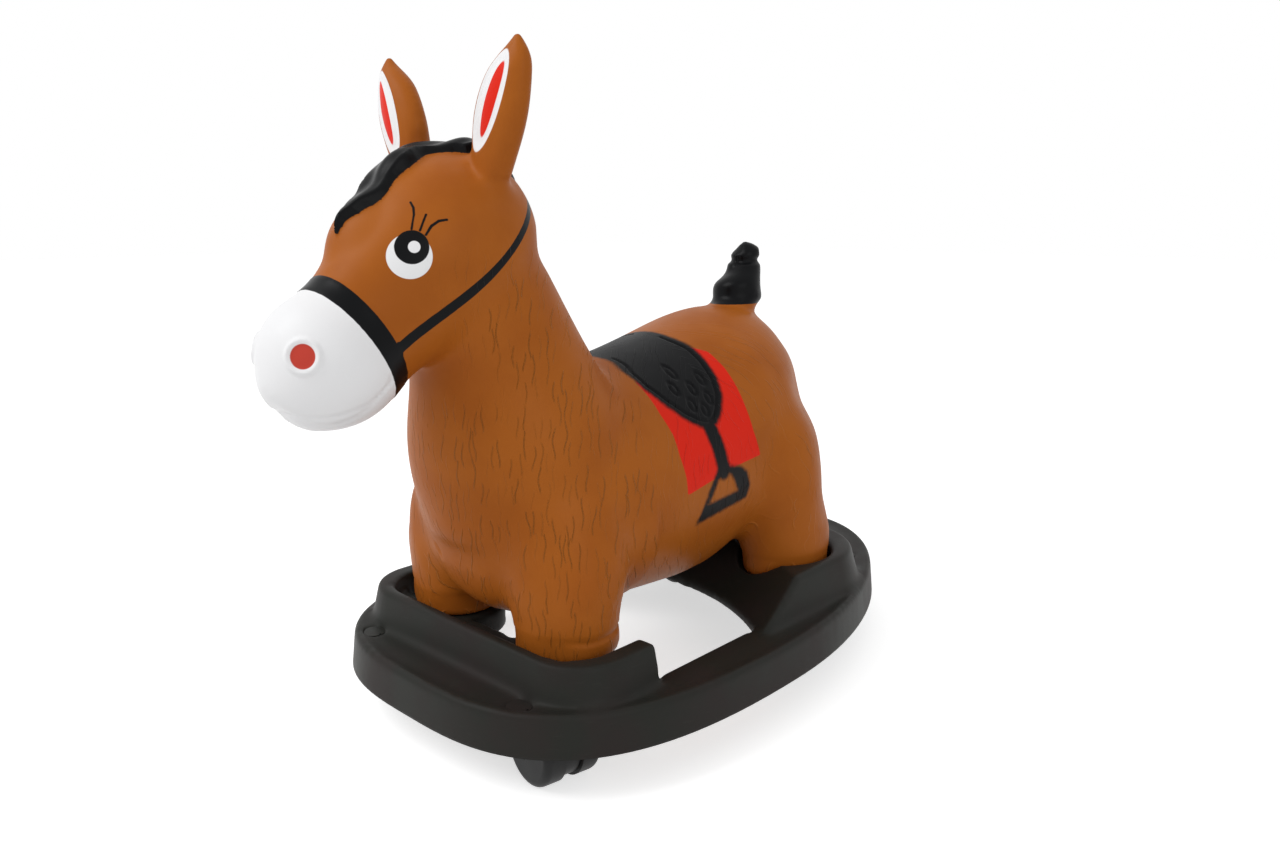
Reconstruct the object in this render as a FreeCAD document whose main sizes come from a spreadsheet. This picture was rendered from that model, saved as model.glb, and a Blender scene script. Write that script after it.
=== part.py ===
"""Hopping horse on a wheeled ring base.

A soft, air-filled horse stands with its four feet in a black plastic ring, which
rolls on four twin-wheel swivel casters.  Millimetres, +Z up, +X to the horse's
left, and the horse faces -Y.  The origin is on the floor, midway between the
four swivel axes.
"""
import FreeCAD, Part

import math
import os
import re

import Sketcher
from FreeCAD import Placement, Rotation, Vector

doc = FreeCAD.newDocument("hopping_horse")

# ---------------------------------------------------------------- driving sizes

SIZES = {
    # ring base: half width, reach to the front and to the rear, and its wall
    "ring_half_width": 219.0,
    "ring_front": 303.0,
    "ring_rear": 381.0,
    "ring_bottom": 45.0,
    "ring_draft": 4.0,
    "wall": 4.0,
    "dish_depth": 2.5,
    "rim_width": 8.0,
    "rim_round": 6.0,
    # opening in the middle of the ring
    "opening_half_width": 167.0,
    "opening_rear": 62.0,
    "opening_rear_radius": 267.0,
    "opening_front": 203.0,
    "opening_lip": 7.0,
    # raised collar round the front feet
    "collar_height": 34.0,
    "collar_half_width": 179.0,
    "collar_side_wall": 22.0,
    "collar_front": 256.0,
    "collar_front_wall": 12.0,
    "collar_end": 150.0,
    "collar_corner": 62.0,
    "collar_draft": 8.0,
    "collar_round": 4.0,
    # raised deck round the rear feet
    "deck_height": 38.0,
    "deck_half_width": 186.0,
    "deck_rear": 249.0,
    "deck_corner": 95.0,
    "deck_draft": 12.0,
    "deck_slope": 57.0,
    "deck_round": 6.0,
    # stiffening ribs under the ring
    "rib_thickness": 3.0,
    "rib_rise": 8.0,
    "rib_pitch": 50.0,
    "rib_start": -105.0,
    "ledge_rib_spread": 58.5,
    # where the feet stand
    "foot_rise": 16.0,
    "front_foot_spread": 80.0,
    "front_foot_reach": 186.0,
    "front_foot_radius": 42.0,
    "front_shelf_radius": 50.0,
    "rear_foot_spread": 110.0,
    "rear_foot_reach": 140.0,
    "rear_foot_wide": 45.0,
    "rear_foot_long": 55.0,
    "rear_well_margin": 5.0,
    "foot_clearance": 0.3,
    # twin-wheel swivel casters
    "wheel_radius": 36.0,
    "wheel_width": 21.0,
    "wheel_edge": 7.0,
    "wheel_rim": 5.0,
    "wheel_web": 4.0,
    "wheel_hub": 8.0,
    "caster_half_width": 30.0,
    "caster_trail": 15.0,
    "caster_turn": 10.0,
    "swivel_clearance": 0.5,
    "stem_inset": 116.0,
    "corner_allowance": 13.5,
    "hood_gap": 1.5,
    "hood_wall": 2.5,
    "hood_drop": 14.0,
    "hood_half_width": 27.0,
    "hood_clearance": 1.5,
    "hub_bottom": 46.0,
    "hub_radius": 8.4,
    "web_half": 7.0,
    "web_step": 3.0,
    "web_bottom": 9.0,
    "axle_radius": 4.0,
    "running_clearance": 0.05,
    "pivot_radius": 4.0,
    "pivot_head": 5.4,
    "stem_radius": 5.5,
    "stem_flange": 7.5,
    "stem_length": 17.0,
    "ring_groove": 1.0,
    "ring_height": 3.0,
    "sleeve_wall": 2.0,
    "socket_wall": 3.5,
    "cap_radius": 9.0,
    "cap_height": 4.0,
    "cap_bore": 2.5,
    # cover discs on the ring's top
    "disc_spread": 115.0,
    "disc_reach": 267.0,
    "disc_radius": 12.0,
    "disc_spigot": 8.0,
    "disc_thickness": 2.0,
    "disc_notch": 2.5,
    # horse's skin and air valve
    "skin": 2.5,
    "valve_radius": 4.5,
    "valve_neck": 8.0,
    "valve_depth": 14.0,
    "valve_head": 9.0,
    "valve_head_height": 2.0,
    "valve_place": 20.0,
}

sizes = doc.addObject("Spreadsheet::Sheet", "sizes")
for row, (alias, value) in enumerate(SIZES.items(), start=1):
    sizes.set(f"A{row}", alias.replace("_", " "))
    sizes.set(f"B{row}", str(value))
    sizes.setAlias(f"B{row}", alias)
doc.recompute()


def number(expression):
    """The value of an expression written in the sheet's aliases."""
    return float(sizes.evalExpression(expression))


def in_sheet(expression):
    """The same expression, with each alias named as a cell of the sheet."""
    def cell(match):
        return "sizes." + match.group() if match.group() in SIZES else match.group()
    return re.sub("[a-z_]+", cell, expression)


# Heights that follow from the sizes above, as expressions in the sheet's aliases.
HOOD_TOP = "2 * wheel_radius + hood_gap + hood_wall"
PLATE_BOTTOM = f"{HOOD_TOP} + hood_clearance"
PLATE_TOP = f"{PLATE_BOTTOM} + wall"
RING_TOP = f"{PLATE_TOP} + dish_depth"
SHELF_TOP = f"{RING_TOP} + foot_rise"
SOCKET_TOP = f"{PLATE_BOTTOM} + stem_length + 1"

# How far a caster reaches from its swivel axis, and where that axis stands.
SWEEP = math.hypot(
    number("caster_trail + wheel_radius"), number("caster_half_width - wheel_edge / 2"))
STEM_X = number("ring_half_width - stem_inset")
STEM_Y = number("ring_front - wall - corner_allowance - swivel_clearance") - SWEEP

UP = Vector(0, 0, 1)
CORNERS = {
    "front_left": (1, -1),
    "front_right": (-1, -1),
    "rear_left": (1, 1),
    "rear_right": (-1, 1),
}


# ------------------------------------------------------- parametric small parts

def origin_plane(body, role):
    """One of a body's own origin planes."""
    return next(f for f in body.Origin.OriginFeatures if f.Role == role)


def profile(body, name, corners):
    """A fully constrained closed outline on the body's XZ plane.

    Each corner is a pair of expressions: how far out from the axis, and how high.
    """
    sketch = body.newObject("Sketcher::SketchObject", name)
    sketch.AttachmentSupport = [(origin_plane(body, "XZ_Plane"), "")]
    sketch.MapMode = "FlatFace"
    points = [Vector(number(out), number(up), 0) for out, up in corners]
    for start, end in zip(points, points[1:] + points[:1]):
        sketch.addGeometry(Part.LineSegment(start, end), False)
    for index, corner in enumerate(corners):
        before = (index - 1) % len(corners)
        sketch.addConstraint(Sketcher.Constraint("Coincident", before, 2, index, 1))
        for kind, axis, text in (("DistanceX", -2, corner[0]), ("DistanceY", -1, corner[1])):
            if text == "0":
                sketch.addConstraint(Sketcher.Constraint("PointOnObject", index, 1, axis))
            else:
                datum = Sketcher.Constraint(kind, -1, 1, index, 1, number(text))
                place = sketch.addConstraint(datum)
                sketch.setExpression(f"Constraints[{place}]", in_sheet(text))
    return sketch


def turned(label, corners):
    """A body turned about its own Z axis from one half section."""
    body = doc.addObject("PartDesign::Body", label)
    sketch = profile(body, label + "_section", corners)
    turn = body.newObject("PartDesign::Revolution", label + "_turn")
    turn.Profile = sketch
    turn.ReferenceAxis = (sketch, ["V_Axis"])
    turn.Angle = 360
    return body


def rounded_rim(body, label, radius, height, fillet):
    """Round the circular edge of that radius and height on a turned body."""
    doc.recompute()
    turn = body.Tip
    edges = [
        f"Edge{index}" for index, edge in enumerate(turn.Shape.Edges, start=1)
        if isinstance(edge.Curve, Part.Circle)
        and abs(edge.Curve.Radius - number(radius)) < 0.01
        and abs(edge.Curve.Center.z - number(height)) < 0.01
    ]
    rounding = body.newObject("PartDesign::Fillet", label + "_round")
    rounding.Base = (turn, edges)
    rounding.setExpression("Radius", in_sheet(fillet))
    return body


def primitive(kind, label, dims, place=(), rotation=Rotation()):
    """A Part primitive with its sizes and its place bound to the sheet."""
    item = doc.addObject(kind, label)
    item.Placement = Placement(Vector(), rotation)
    for name, expression in dims.items():
        item.setExpression(name, in_sheet(expression))
    for axis, expression in zip("xyz", place):
        item.setExpression("Placement.Base." + axis, in_sheet(expression))
    return item


def cylinder_along_y(label, radius, half_length, across, up):
    """A cylinder along Y, centred on the XZ plane."""
    dims = {"Radius": radius, "Height": f"2 * ({half_length})"}
    place = (across, half_length, up)
    return primitive("Part::Cylinder", label, dims, place, Rotation(Vector(1, 0, 0), 90))


def joined(label, items):
    """Several objects fused into one."""
    fuse = doc.addObject("Part::MultiFuse", label)
    fuse.Shapes = items
    return fuse


def boolean(kind, label, base, tool):
    """A two-part boolean: Part::Cut or Part::Common."""
    result = doc.addObject(kind, label)
    result.Base = base
    result.Tool = tool
    return result


# ----------------------------------------------------------------------- casters

def hood(label):
    """Caster housing: swivel hub, axle bearing and the web and fender between."""
    fender_outer = cylinder_along_y(
        label + "_fender_outer", "wheel_radius + hood_gap + hood_wall",
        "hood_half_width", "caster_trail", "wheel_radius")
    fender_inner = cylinder_along_y(
        label + "_fender_inner", "wheel_radius + hood_gap",
        "hood_half_width + 1", "caster_trail", "wheel_radius")
    fender_tube = boolean("Part::Cut", label + "_fender_tube", fender_outer, fender_inner)
    fender_zone = primitive(
        "Part::Box", label + "_fender_zone",
        {"Length": "4 * wheel_radius", "Width": "4 * wheel_radius", "Height": "hood_drop"},
        ("0 - 2 * wheel_radius", "0 - 2 * wheel_radius", f"{HOOD_TOP} - hood_drop"))
    fender = boolean("Part::Common", label + "_fender", fender_tube, fender_zone)
    web_disc = cylinder_along_y(
        label + "_web_disc", "wheel_radius - web_step",
        "web_half", "caster_trail", "wheel_radius")
    web_zone = primitive(
        "Part::Box", label + "_web_zone",
        {"Length": "4 * wheel_radius", "Width": "4 * wheel_radius", "Height": "2 * wheel_radius"},
        ("0 - 2 * wheel_radius", "0 - 2 * wheel_radius", "web_bottom"))
    web = boolean("Part::Common", label + "_web", web_disc, web_zone)
    crown = primitive(
        "Part::Box", label + "_crown",
        {"Length": "2 * hub_radius + caster_trail", "Width": "2 * web_half",
         "Height": f"{HOOD_TOP} - hood_wall / 2 - hub_bottom"},
        ("0", "0 - web_half", "hub_bottom"))
    bearing = cylinder_along_y(
        label + "_bearing", "hub_radius", "caster_half_width - wheel_width - 0.6",
        "caster_trail", "wheel_radius")
    hub = primitive(
        "Part::Cylinder", label + "_hub",
        {"Radius": "hub_radius", "Height": f"{HOOD_TOP} - hub_bottom"},
        ("0", "0", "hub_bottom"))
    solid = joined(label + "_solid", [fender, web, crown, bearing, hub])
    pivot_bore = primitive(
        "Part::Cylinder", label + "_pivot_bore",
        {"Radius": "pivot_radius + running_clearance", "Height": HOOD_TOP},
        ("0", "0", "hub_bottom - 1"))
    axle_bore = cylinder_along_y(
        label + "_axle_bore", "axle_radius + running_clearance", "caster_half_width",
        "caster_trail", "wheel_radius")
    head_room = primitive(
        "Part::Cylinder", label + "_head_room",
        {"Radius": "pivot_head + 0.5", "Height": "hub_bottom"})
    bores = joined(label + "_bores", [pivot_bore, axle_bore, head_room])
    return boolean("Part::Cut", label, solid, bores)


def stem(label):
    """Steel stem: headed pivot below, flange, and a grooved shank above."""
    groove = f"{PLATE_BOTTOM} + stem_length / 2"
    return turned(label, [
        ("0", "hub_bottom - 2.5"),
        ("pivot_head", "hub_bottom - 2.5"),
        ("pivot_head", "hub_bottom - 0.3"),
        ("pivot_radius", "hub_bottom - 0.3"),
        ("pivot_radius", f"{HOOD_TOP} + 0.2"),
        ("stem_flange", f"{HOOD_TOP} + 0.2"),
        ("stem_flange", PLATE_BOTTOM),
        ("stem_radius", PLATE_BOTTOM),
        ("stem_radius", groove),
        ("stem_radius - ring_groove", groove),
        ("stem_radius - ring_groove", f"{groove} + ring_height"),
        ("stem_radius", f"{groove} + ring_height"),
        ("stem_radius", f"{PLATE_BOTTOM} + stem_length"),
        ("0", f"{PLATE_BOTTOM} + stem_length"),
    ])


def grip_ring(label):
    """Spring ring in the stem's groove that grips the sleeve."""
    groove = f"{PLATE_BOTTOM} + stem_length / 2"
    return turned(label, [
        ("stem_radius - ring_groove", groove),
        ("stem_radius", groove),
        ("stem_radius", f"{groove} + ring_height"),
        ("stem_radius - ring_groove", f"{groove} + ring_height"),
    ])


def sleeve(label):
    """Plastic sleeve pressed into the ring's socket, for the stem."""
    return turned(label, [
        ("stem_radius", PLATE_BOTTOM),
        ("stem_radius + sleeve_wall", PLATE_BOTTOM),
        ("stem_radius + sleeve_wall", f"{PLATE_BOTTOM} + stem_length"),
        ("stem_radius", f"{PLATE_BOTTOM} + stem_length"),
    ])


def wheel(label):
    """One wheel of a pair, from its inner face at 0 to its flat outer face."""
    body = turned(label, [
        ("axle_radius", "0"),
        ("wheel_hub", "0"),
        ("wheel_hub", "wheel_width - wheel_web"),
        ("wheel_radius - wheel_rim", "wheel_width - wheel_web"),
        ("wheel_radius - wheel_rim", "0"),
        ("wheel_radius", "0"),
        ("wheel_radius", "wheel_width"),
        ("axle_radius", "wheel_width"),
    ])
    return rounded_rim(body, label, "wheel_radius", "wheel_width", "wheel_edge")


def hub_cap(label):
    """Push-on cap that keeps a wheel on the axle."""
    return turned(label, [
        ("axle_radius", "0"),
        ("cap_radius", "0"),
        ("cap_radius", "cap_height"),
        ("0", "cap_height"),
        ("0", "cap_bore"),
        ("axle_radius", "cap_bore"),
    ])


def caster(corner, side, end):
    """The pieces of one caster, turned a little outward from straight sideways."""
    name = "caster_" + corner
    turn = number("caster_turn")
    heading = end * turn if side > 0 else 180 - end * turn
    swivel = Placement(Vector(side * STEM_X, end * STEM_Y, 0), Rotation(UP, heading))
    trail, radius = number("caster_trail"), number("wheel_radius")
    pieces = []

    def place(piece, at=Placement()):
        piece.Placement = swivel.multiply(at)
        pieces.append(piece)

    place(stem(name + "_stem"))
    place(grip_ring(name + "_grip_ring"))
    place(sleeve(name + "_sleeve"))
    place(hood(name + "_hood"))
    for letter, way in (("a", 1), ("b", -1)):
        outward = Rotation(Vector(1, 0, 0), -90 * way)
        inner_face = way * number("caster_half_width - wheel_width")
        outer_face = way * number("caster_half_width")
        place(wheel(f"{name}_wheel_{letter}"), Placement(Vector(trail, inner_face, radius), outward))
        place(hub_cap(f"{name}_cap_{letter}"), Placement(Vector(trail, outer_face, radius), outward))
    half_axle = number("caster_half_width + cap_bore")
    axle = primitive(
        "Part::Cylinder", name + "_axle",
        {"Radius": "axle_radius", "Height": "2 * (caster_half_width + cap_bore)"})
    place(axle, Placement(Vector(trail, half_axle, radius), Rotation(Vector(1, 0, 0), 90)))
    return pieces


# --------------------------------------------------------------------- ring base

# The ring's outline is a superellipse, squarer in front than behind.
FRONT_POWER = 3.0
REAR_POWER = 1.9
OUTLINE_POINTS = 24

# Radius of the corners that open into another face, and ribs along each side rail.
SMALL_CORNER = 6.0
RAIL_RIBS = 5


def ring_wire(inset, height):
    """Closed outline of the ring, fuller in front than behind."""
    half_width = number("ring_half_width") - inset
    points = []
    for index in range(OUTLINE_POINTS):
        angle = 2 * math.pi * index / OUTLINE_POINTS
        across, along = math.cos(angle), math.sin(angle)
        power = REAR_POWER if along > 0 else FRONT_POWER
        reach = number("ring_rear") if along > 0 else number("ring_front")
        points.append(Vector(
            half_width * math.copysign(abs(across) ** (2 / power), across),
            (reach - inset) * math.copysign(abs(along) ** (2 / power), along),
            height))
    curve = Part.BSplineCurve()
    curve.interpolate(points, PeriodicFlag=True)
    return Part.Wire([curve.toShape()])


def ring_block(inset, top):
    """The ring without its opening: flared to the bottom, rounded at the top."""
    bottom = number("ring_bottom") - (inset and 1)
    block = Part.makeLoft(
        [ring_wire(inset - number("ring_draft"), bottom), ring_wire(inset, top)], True, True)
    if inset:
        return block
    rim = [edge for edge in block.Edges if edge.BoundBox.ZMin > top - 0.01]
    return block.makeFillet(number("rim_round"), rim)


def corner_wire(half_width, front, rear, front_radius, rear_radius, height):
    """Rectangle with rounded corners, symmetrical about the YZ plane."""
    edges = []
    corners = [
        (half_width, front, front_radius, -90),
        (half_width, rear, rear_radius, 0),
        (-half_width, rear, rear_radius, 90),
        (-half_width, front, front_radius, 180),
    ]
    ends = []
    for x, y, radius, start in corners:
        centre = Vector(x - math.copysign(radius, x), y + (radius if y == front else -radius), height)
        spots = [
            centre + Vector(math.cos(math.radians(start + step)), math.sin(math.radians(start + step)), 0)
            * radius for step in (0, 45, 90)]
        edges.append(Part.Arc(*spots).toShape())
        ends.append((spots[0], spots[2]))
    for (_, leave), (arrive, _) in zip(ends, ends[1:] + ends[:1]):
        edges.append(Part.makeLine(leave, arrive))
    return Part.Wire(Part.__sortEdges__(edges))


def prism(wires):
    """Straight-sided solid through wires that have the same corners."""
    return Part.makeLoft(wires, True, True)


def pillar(x, y, radius, bottom, top):
    """Upright cylinder between two heights."""
    return Part.makeCylinder(radius, top - bottom, Vector(x, y, bottom))


def oval_pillar(x, y, wide, long, bottom, top):
    """Upright oval cylinder, longer along Y."""
    oval = Part.Ellipse(Vector(x, y + long, bottom), Vector(x + wide, y, bottom), Vector(x, y, bottom))
    return Part.Face(Part.Wire(oval.toShape())).extrude(Vector(0, 0, top - bottom))


def mirrored_pair(shape):
    """A shape and its mirror image across the YZ plane, as one."""
    return shape.fuse(shape.mirror(Vector(), Vector(1, 0, 0)))


def collar(inset):
    """Block round the front feet, before its foot pocket is cut."""
    low, high = number("ring_bottom") - (inset and 1), number(f"{RING_TOP} + collar_height") - inset
    draft = number("collar_draft")
    half_width, front = number("collar_half_width") - inset, -number("collar_front") + inset
    end, corner = -number("collar_end") - inset, number("collar_corner") - inset
    return prism([
        corner_wire(half_width, front, end, corner, SMALL_CORNER, low),
        corner_wire(half_width, front, end, corner, SMALL_CORNER, number(RING_TOP)),
        corner_wire(half_width - draft, front + draft, end, corner - draft, SMALL_CORNER, high)])


def pocket(grow):
    """Space inside the collar above the shelf that the front feet stand on."""
    shelf = number(SHELF_TOP) - grow
    top = number(f"{RING_TOP} + collar_height") + 1
    half_width = number("collar_half_width - collar_draft - collar_side_wall") + grow
    front = -number("collar_front - collar_draft - collar_front_wall") - grow
    corner = number("collar_corner - collar_draft") - number("collar_front_wall") + grow
    wire = corner_wire(half_width, front, -number("collar_end") / 2, corner, corner, shelf)
    return Part.Face(wire).extrude(Vector(0, 0, top - shelf))


def deck(inset):
    """Block round the rear feet, sloping down to the opening in front of it."""
    low, high = number("ring_bottom") - (inset and 1), number(f"{RING_TOP} + deck_height") - inset
    draft = number("deck_draft")
    half_width, rear = number("deck_half_width") - inset, number("deck_rear") - inset
    corner = number("deck_corner") - inset
    block = prism([
        corner_wire(half_width, 0.0, rear, SMALL_CORNER, corner, low),
        corner_wire(half_width, 0.0, rear, SMALL_CORNER, corner, number(RING_TOP)),
        corner_wire(
            half_width - draft, 0.0, rear - draft / 2, SMALL_CORNER, corner - draft / 2, high)])
    return block.cut(deck_slope(inset))


def deck_slope(inset):
    """Cone whose surface is the slope from the opening up to the deck."""
    radius = number("opening_rear_radius") + inset
    centre = Vector(0, number("opening_rear - opening_rear_radius"), number(PLATE_TOP) - inset)
    rise = number(f"{RING_TOP} + deck_height") - centre.z
    lower = Part.makeCylinder(radius, centre.z, Vector(centre.x, centre.y, 0))
    return lower.fuse(Part.makeCone(radius, radius + number("deck_slope"), rise, centre)).fuse(
        Part.makeCylinder(radius + number("deck_slope"), number("wall"), centre + Vector(0, 0, rise)))


def rear_wells(grow):
    """The two hollows that the rear feet stand in."""
    margin = number("rear_well_margin") + grow
    return mirrored_pair(oval_pillar(
        number("rear_foot_spread"), number("rear_foot_reach"),
        number("rear_foot_wide") + margin, number("rear_foot_long") + margin,
        number(SHELF_TOP) - grow, number(f"{RING_TOP} + deck_height") + 1))


def opening(grow):
    """The hole through the ring, or with its lip, round the shelves of the front feet."""
    low = number(f"{PLATE_BOTTOM} - opening_lip") if grow else number("ring_bottom") - 2
    high = number(f"{RING_TOP} + collar_height") + 2
    radius = number("opening_rear_radius") + grow
    centre_y = number("opening_rear - opening_rear_radius")
    half_width = number("opening_half_width") + grow
    end = number("collar_end") + grow
    behind = Part.makeBox(2 * half_width, 2 * end, high - low, Vector(-half_width, -end, low))
    inner = number("collar_half_width - collar_draft - collar_side_wall") + grow
    front = number("opening_front") + grow
    between = Part.makeBox(2 * inner, front, high - low, Vector(-inner, -front, low))
    shelves = mirrored_pair(pillar(
        number("front_foot_spread"), -number("front_foot_reach"),
        number("front_shelf_radius") - grow, low, high))
    hole = behind.fuse(between).common(pillar(0, centre_y, radius, low, high))
    return hole.cut(shelves)


def four_pillars(x, y, radius, bottom, top):
    """The same upright cylinder at each corner of the ring."""
    return [pillar(side * x, end * y, radius, bottom, top) for side, end in CORNERS.values()]


def ribs():
    """Stiffening ribs under the side rails and the rear ledge."""
    thick, low = number("rib_thickness"), number("ring_bottom + rib_rise")
    rise = number(PLATE_BOTTOM) + 1 - low
    rail, reach = number("opening_half_width") + 1, number("ring_half_width")
    boxes = [
        Part.makeBox(reach, thick, rise, Vector(start, number("rib_start") + step * number("rib_pitch"), low))
        for step in range(RAIL_RIBS) for start in (rail, -rail - reach)]
    ledge, spread = number("deck_rear") - number("wall") / 2, number("ledge_rib_spread")
    boxes += [
        Part.makeBox(thick, number("ring_rear"), rise, Vector(x - thick / 2, ledge, low))
        for x in (-spread, 0, spread)]
    inside = ring_block(1.0, number(PLATE_TOP) - 1)
    return [box.common(inside) for box in boxes]


def socket_braces():
    """Ribs that carry the rear sockets between the walls of the raised deck."""
    thick, low = number("wall"), number(PLATE_BOTTOM)
    high, half_width = number(SOCKET_TOP) - low, number("deck_half_width")
    braces = [Part.makeBox(2 * half_width, thick, high, Vector(-half_width, STEM_Y - thick / 2, low))]
    braces += [
        Part.makeBox(thick, number("deck_rear"), high, Vector(side * STEM_X - thick / 2, STEM_Y, low))
        for side in (1, -1)]
    inside = deck(1.0)
    return [brace.common(inside) for brace in braces]


def softened(shell, height, radius):
    """Round every edge that lies at one height, such as a wall's crest."""
    crest = [edge for edge in shell.Edges
             if edge.BoundBox.ZMin > height - 0.01 and edge.BoundBox.ZMax < height + 0.01]
    return shell.makeFillet(radius, crest)


def tray():
    """Moulded ring: an open-bottomed shell with collar, deck, shelves and sockets."""
    wall = number("wall")
    plate_bottom, plate_top = number(PLATE_BOTTOM), number(PLATE_TOP)
    ring = ring_block(0.0, number(RING_TOP))
    dish = Part.Face(ring_wire(number("rim_width"), plate_top)).extrude(
        Vector(0, 0, number("dish_depth") + 1))
    solid = ring.cut(dish).fuse([collar(0.0), deck(0.0)])
    solid = solid.cut([pocket(0.0), rear_wells(0.0), opening(0.0)])
    solid = softened(solid, number(f"{RING_TOP} + collar_height"), number("collar_round"))
    solid = softened(solid, number(f"{RING_TOP} + deck_height"), number("deck_round"))
    hollow = ring_block(wall, plate_bottom).fuse([collar(wall), deck(wall)])
    hollow = hollow.cut([pocket(wall), rear_wells(wall), opening(wall)])
    bore = number("stem_radius + sleeve_wall")
    sockets = four_pillars(
        STEM_X, STEM_Y, bore + number("socket_wall"), plate_bottom, number(SOCKET_TOP) + wall / 2)
    room = four_pillars(
        STEM_X, STEM_Y, SWEEP + number("swivel_clearance"), number("ring_bottom") - 1, plate_bottom)
    spread, reach = number("disc_spread"), number("disc_reach")
    seats = four_pillars(
        spread, reach, number("disc_radius + running_clearance"),
        plate_top - number("disc_thickness"), plate_top)
    holes = four_pillars(
        spread, reach, number("disc_spigot + running_clearance"), plate_bottom - 1, plate_top)
    bores = four_pillars(STEM_X, STEM_Y, bore, plate_bottom - 1, number(SOCKET_TOP) - 1)
    shell = solid.cut(hollow).fuse(ribs() + socket_braces()).cut(room).fuse(sockets)
    return shell.cut(seats + holes + bores)


# ------------------------------------------------------------------------- horse

# Cross sections, each (along Y, height above the feet, tilt, half width, half
# depth): an oval in a plane tilted that many degrees back from upright.
TORSO = [
    (-244, 122, 0, 34, 34), (-228, 122, 0, 80, 78), (-200, 124, 0, 106, 104),
    (-155, 126, 0, 121, 119), (-90, 127, 0, 127, 124), (-20, 130, 0, 127, 132),
    (45, 139, 0, 127, 139), (105, 156, 0, 127, 136), (155, 160, 0, 119, 134),
    (195, 157, 0, 107, 124), (228, 149, 0, 84, 105), (250, 143, 0, 50, 66),
    (259, 140, 0, 18, 26),
]
NECK = [
    (-150, 100, 90, 108, 104), (-154, 160, 90, 114, 112), (-165, 210, 90, 104, 104),
    (-178, 255, 90, 88, 90), (-196, 295, 90, 80, 82), (-220, 340, 90, 74, 79),
    (-238, 375, 90, 68, 74),
]
HEAD = [
    (-171, 402, 20, 26, 26), (-184, 399, 20, 52, 52), (-210, 388, 22, 73, 72),
    (-248, 368, 28, 80, 80), (-284, 344, 35, 71, 71), (-312, 320, 40, 57, 61),
    (-334, 303, 42, 52, 56), (-358, 286, 42, 56, 58), (-382, 266, 42, 49, 50),
    (-399, 251, 42, 30, 31), (-405, 246, 42, 12, 12),
]
TAIL = [
    (166, 266, 78, 17, 16), (171, 282, 78, 20, 19), (178, 298, 78, 28, 27),
    (186, 316, 78, 28, 27), (193, 333, 78, 20, 19), (197, 345, 78, 18, 17),
    (200, 358, 78, 17, 16), (202, 369, 78, 8, 8),
]
# Sections of one leg or ear, each (height, out, along Y, half width, half length).
FRONT_LEG = [
    (0, 0, 0, 1, 1), (24, 0, 0, 1, 1), (55, -3, 3, 7, 8), (90, -10, 11, 17, 19),
    (125, -20, 21, 25, 28), (160, -34, 32, 26, 28), (190, -50, 40, 12, 14),
]
REAR_LEG = [
    (0, 0, 0, 0, 0), (22, -1, 1, 1, 1), (50, -6, 2, 6, 8), (85, -14, 2, 14, 20),
    (120, -25, 2, 22, 30), (155, -38, 2, 26, 36), (190, -54, 2, 20, 28),
]
EAR = [
    (400, 48, -230, 15, 13), (428, 54, -232, 18, 14), (455, 62, -232, 25, 15),
    (485, 71, -232, 29, 15), (513, 80, -231, 24, 13), (532, 87, -230, 16, 10),
    (544, 91, -230, 8, 6),
]


def oval(y, height, tilt, half_width, half_depth, x):
    """Oval wire, its plane tilted back about X by that many degrees from upright."""
    angle = math.radians(tilt)
    up = Vector(0, -math.sin(angle), math.cos(angle))
    across = Vector(1, 0, 0)
    centre = Vector(x, y, height)
    if half_depth > half_width:
        curve = Part.Ellipse(centre + up * half_depth, centre + across * half_width, centre)
    elif half_depth < half_width:
        curve = Part.Ellipse(centre + across * half_width, centre + up * half_depth, centre)
    else:
        curve = Part.Circle(centre, across.cross(up), half_width)
    return Part.Wire(curve.toShape())


def inset(sections):
    """The same run of ovals, one skin's thickness further in all round."""
    skin = number("skin")
    inner = [row for row in sections if min(row[3], row[4]) > 2 * skin]
    moved = []
    for index, row in enumerate(inner):
        shift = [0.0, 0.0]
        if index in (0, len(inner) - 1):
            beside = inner[1] if index == 0 else inner[-2]
            length = math.hypot(beside[0] - row[0], beside[1] - row[1])
            shift = [skin * (beside[k] - row[k]) / length for k in (0, 1)]
        moved.append((
            row[0] + shift[0], row[1] + shift[1], row[2], row[3] - skin, row[4] - skin, row[5]))
    return moved


def central(sections):
    """Sections of a part that lies on the YZ plane."""
    return [row + (0.0,) for row in sections]


def limb(rows, side, spread=0.0, reach=0.0, half_width=0.0, half_length=0.0):
    """Sections of one leg or ear, standing at its own place."""
    return [
        (reach + along, height, 90, half_width + wide, half_length + length, side * (spread + out))
        for height, out, along, wide, length in rows]


def horse_parts():
    """Every run of sections that the horse is made of, feet at height zero."""
    parts = [central(TORSO), central(NECK), central(HEAD), central(TAIL)]
    front = number("front_foot_radius")
    for side in (1, -1):
        parts.append(limb(
            FRONT_LEG, side, number("front_foot_spread"), -number("front_foot_reach"), front, front))
        parts.append(limb(
            REAR_LEG, side, number("rear_foot_spread"), number("rear_foot_reach"),
            number("rear_foot_wide"), number("rear_foot_long")))
        parts.append(limb(EAR, side))
    return parts


def lofted(parts):
    """One solid from several runs of sections."""
    solids = [Part.makeLoft([oval(*row) for row in rows], True, False) for rows in parts]
    whole = solids[0]
    for solid in solids[1:]:
        whole = whole.fuse(solid)
    return whole


def belly_height(outer):
    """Height of the belly's underside at the air valve."""
    y = number("valve_place")
    upright = Part.makeLine(Vector(0, y, -number("rear_foot_reach")), Vector(0, y, 0))
    return upright.common(outer).BoundBox.ZMin


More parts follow.
